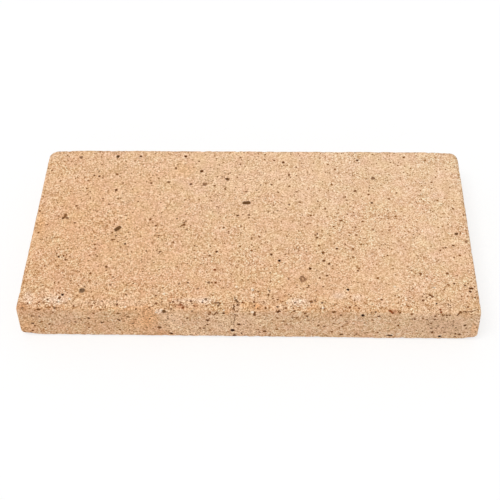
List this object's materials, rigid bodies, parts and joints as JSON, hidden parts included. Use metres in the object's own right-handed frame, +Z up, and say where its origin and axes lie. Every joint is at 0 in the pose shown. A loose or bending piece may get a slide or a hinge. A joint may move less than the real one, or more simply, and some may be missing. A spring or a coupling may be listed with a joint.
{
  "type": "refractory firebrick",
  "caption": "Thin rectangular fireclay slab with softened edges and two rounder back corners, for lining fireboxes, stoves and kilns.",
  "frame": {"origin": "centre of the bed face that the brick lies on", "axes": "+X along the length, +Y from the square-cornered front long side to the back with the rounder corners, +Z up through the thickness"},
  "size_m": [0.25, 0.124, 0.025],
  "materials": {
    "fireclay": "matt, open-grained, unglazed"
  },
  "bodies": {
    "root": {"firebrick": "fireclay"}
  },
  "joints": []
}
